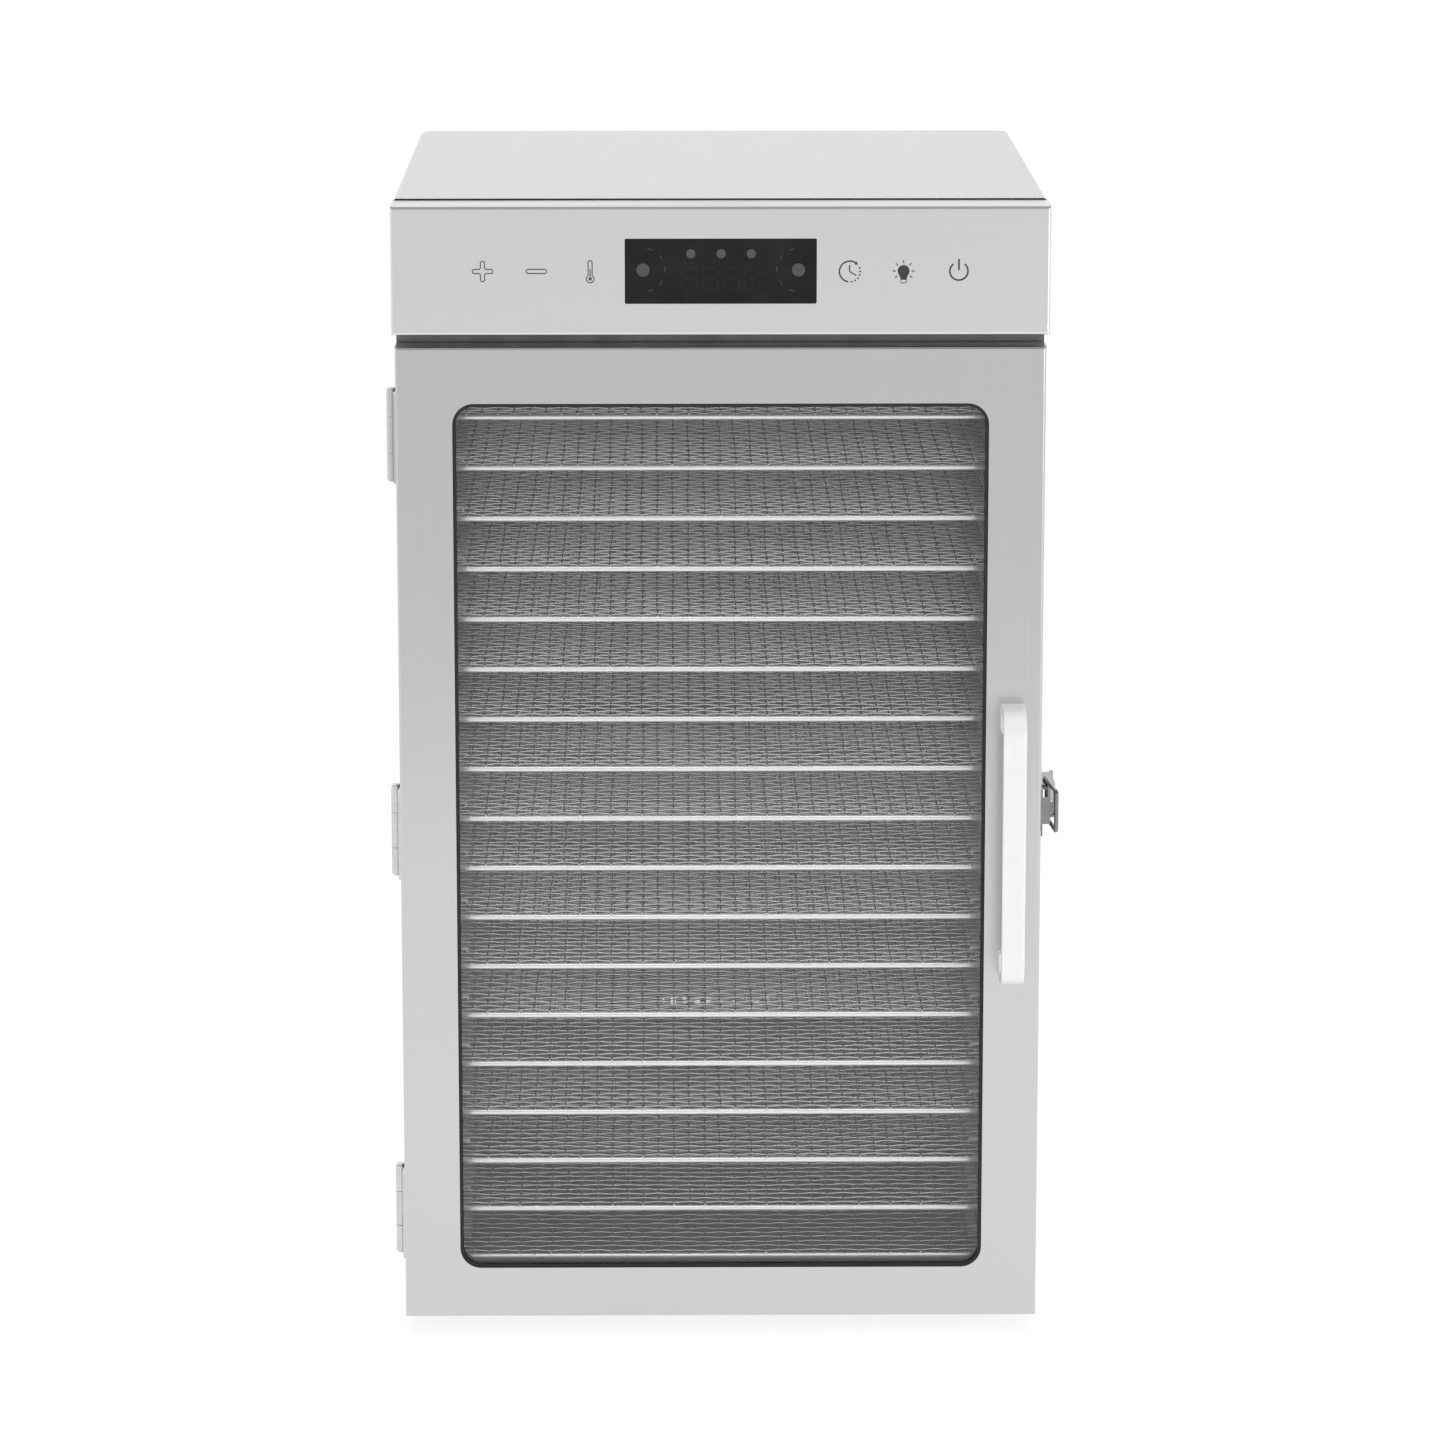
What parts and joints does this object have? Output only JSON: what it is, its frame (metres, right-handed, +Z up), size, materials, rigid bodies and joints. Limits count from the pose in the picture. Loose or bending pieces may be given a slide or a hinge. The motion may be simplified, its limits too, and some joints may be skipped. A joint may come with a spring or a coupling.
{
  "type": "food dehydrator",
  "caption": "Tall cabinet food dehydrator with a glazed swing door, slide-in wire mesh trays, rear fans and a control head on top.",
  "frame": {"origin": "on the floor under the middle of the width and of the depth, handle included", "axes": "+X to the user's right, +Y to the back, +Z up"},
  "size_m": [0.4462, 0.5268, 0.767],
  "materials": {
    "brushed_stainless": "fine brushed",
    "plain_steel": "mill finish",
    "tray_wire": "electropolished",
    "plated_steel": "bright plated",
    "satin_aluminium": "satin anodised",
    "clear_glass": "clear",
    "black_rubber": "matt",
    "grey_silicone": "matt",
    "black_gloss": "gloss",
    "circuit_board": "solder mask",
    "black_plastic": "fine texture",
    "cast_aluminium": "cast",
    "fan_aluminium": "mill finish",
    "heater_sheath": "heat-tinted",
    "lamp_glass": "frosted"
  },
  "bodies": {
    "cabinet": {"feet": "black_rubber", "base_pan": "plain_steel", "top_deck": "plain_steel", "side_panel_left": "brushed_stainless", "side_panel_right": "brushed_stainless", "back_panel": "plain_steel", "face_frame": "brushed_stainless", "liner_left": "plain_steel", "liner_right": "plain_steel", "runners_left": "plain_steel", "runners_right": "plain_steel", "rear_baffle": "plain_steel", "case_screws": "plated_steel", "hinge_cabinet_leaves": "plated_steel", "hinge_pins": "plated_steel", "latch_base": "plated_steel", "latch_pin": "plated_steel", "control_fascia": "brushed_stainless", "top_cover": "brushed_stainless", "display_lens": "black_gloss", "control_board": "circuit_board", "power_board": "circuit_board", "mains_inlet": "black_plastic", "fan_motor_lower": "cast_aluminium", "fan_motor_upper": "cast_aluminium", "heater_lower": "heater_sheath", "heater_upper": "heater_sheath", "cavity_lamp": "lamp_glass", "temp_probe": "plated_steel"},
    "door": {"door_outer_panel": "brushed_stainless", "door_inner_frame": "plain_steel", "door_glass": "clear_glass", "glass_gasket": "black_rubber", "door_seal": "grey_silicone", "door_handle": "satin_aluminium", "handle_screws": "plated_steel", "door_strike": "plated_steel", "hinge_door_leaves": "plated_steel"},
    "latch_lever": {"latch_lever": "plated_steel"},
    "latch_bail": {"latch_bail": "plated_steel"},
    "fan_lower": {"fan_impeller_lower": "fan_aluminium"},
    "fan_upper": {"fan_impeller_upper": "fan_aluminium"},
    "tray_01": {"tray_01": "tray_wire"},
    "tray_02": {"tray_02": "tray_wire"},
    "tray_03": {"tray_03": "tray_wire"},
    "tray_04": {"tray_04": "tray_wire"},
    "tray_05": {"tray_05": "tray_wire"},
    "tray_06": {"tray_06": "tray_wire"},
    "tray_07": {"tray_07": "tray_wire"},
    "tray_08": {"tray_08": "tray_wire"},
    "tray_09": {"tray_09": "tray_wire"},
    "tray_10": {"tray_10": "tray_wire"},
    "tray_11": {"tray_11": "tray_wire"},
    "tray_12": {"tray_12": "tray_wire"},
    "tray_13": {"tray_13": "tray_wire"},
    "tray_14": {"tray_14": "tray_wire"},
    "tray_15": {"tray_15": "tray_wire"},
    "tray_16": {"tray_16": "tray_wire"},
    "tray_17": {"tray_17": "tray_wire"},
    "tray_18": {"tray_18": "tray_wire"}
  },
  "joints": [
    {"name": "door_swing", "type": "hinge", "parent": "cabinet", "child": "door", "pos_m": [-0.2165, -0.2015, 0], "axis": [0, 0, -1], "range_deg": [0, 170]},
    {"name": "latch_turn", "type": "hinge", "parent": "cabinet", "child": "latch_lever", "pos_m": [0.22, -0.1825, 0.362], "axis": [0, 0, -1], "range_deg": [0, 120]},
    {"name": "bail_turn", "type": "hinge", "parent": "latch_lever", "child": "latch_bail", "pos_m": [0.219, -0.1705, 0.362], "axis": [0, 0, -1], "range_deg": [-139, 0]},
    {"name": "fan_spin_lower", "type": "hinge", "parent": "cabinet", "child": "fan_lower", "pos_m": [0, 0.2, 0.192], "axis": [0, 1, 0], "continuous": true},
    {"name": "fan_spin_upper", "type": "hinge", "parent": "cabinet", "child": "fan_upper", "pos_m": [0, 0.2, 0.492], "axis": [0, 1, 0], "continuous": true},
    {"name": "tray_01_slide", "type": "slide", "parent": "cabinet", "child": "tray_01", "axis": [0, -1, 0], "range_m": [-0.005, 0.006]},
    {"name": "tray_02_slide", "type": "slide", "parent": "cabinet", "child": "tray_02", "axis": [0, -1, 0], "range_m": [-0.005, 0.006]},
    {"name": "tray_03_slide", "type": "slide", "parent": "cabinet", "child": "tray_03", "axis": [0, -1, 0], "range_m": [-0.005, 0.006]},
    {"name": "tray_04_slide", "type": "slide", "parent": "cabinet", "child": "tray_04", "axis": [0, -1, 0], "range_m": [-0.005, 0.006]},
    {"name": "tray_05_slide", "type": "slide", "parent": "cabinet", "child": "tray_05", "axis": [0, -1, 0], "range_m": [-0.005, 0.006]},
    {"name": "tray_06_slide", "type": "slide", "parent": "cabinet", "child": "tray_06", "axis": [0, -1, 0], "range_m": [-0.005, 0.006]},
    {"name": "tray_07_slide", "type": "slide", "parent": "cabinet", "child": "tray_07", "axis": [0, -1, 0], "range_m": [-0.005, 0.006]},
    {"name": "tray_08_slide", "type": "slide", "parent": "cabinet", "child": "tray_08", "axis": [0, -1, 0], "range_m": [-0.005, 0.006]},
    {"name": "tray_09_slide", "type": "slide", "parent": "cabinet", "child": "tray_09", "axis": [0, -1, 0], "range_m": [-0.005, 0.006]},
    {"name": "tray_10_slide", "type": "slide", "parent": "cabinet", "child": "tray_10", "axis": [0, -1, 0], "range_m": [-0.005, 0.006]},
    {"name": "tray_11_slide", "type": "slide", "parent": "cabinet", "child": "tray_11", "axis": [0, -1, 0], "range_m": [-0.005, 0.006]},
    {"name": "tray_12_slide", "type": "slide", "parent": "cabinet", "child": "tray_12", "axis": [0, -1, 0], "range_m": [-0.005, 0.006]},
    {"name": "tray_13_slide", "type": "slide", "parent": "cabinet", "child": "tray_13", "axis": [0, -1, 0], "range_m": [-0.005, 0.006]},
    {"name": "tray_14_slide", "type": "slide", "parent": "cabinet", "child": "tray_14", "axis": [0, -1, 0], "range_m": [-0.005, 0.006]},
    {"name": "tray_15_slide", "type": "slide", "parent": "cabinet", "child": "tray_15", "axis": [0, -1, 0], "range_m": [-0.005, 0.006]},
    {"name": "tray_16_slide", "type": "slide", "parent": "cabinet", "child": "tray_16", "axis": [0, -1, 0], "range_m": [-0.005, 0.006]},
    {"name": "tray_17_slide", "type": "slide", "parent": "cabinet", "child": "tray_17", "axis": [0, -1, 0], "range_m": [-0.005, 0.006]},
    {"name": "tray_18_slide", "type": "slide", "parent": "cabinet", "child": "tray_18", "axis": [0, -1, 0], "range_m": [-0.005, 0.006]}
  ],
  "couplings": [
    {"joint": "bail_turn", "follows": "latch_turn", "ratio": -1.15}
  ]
}
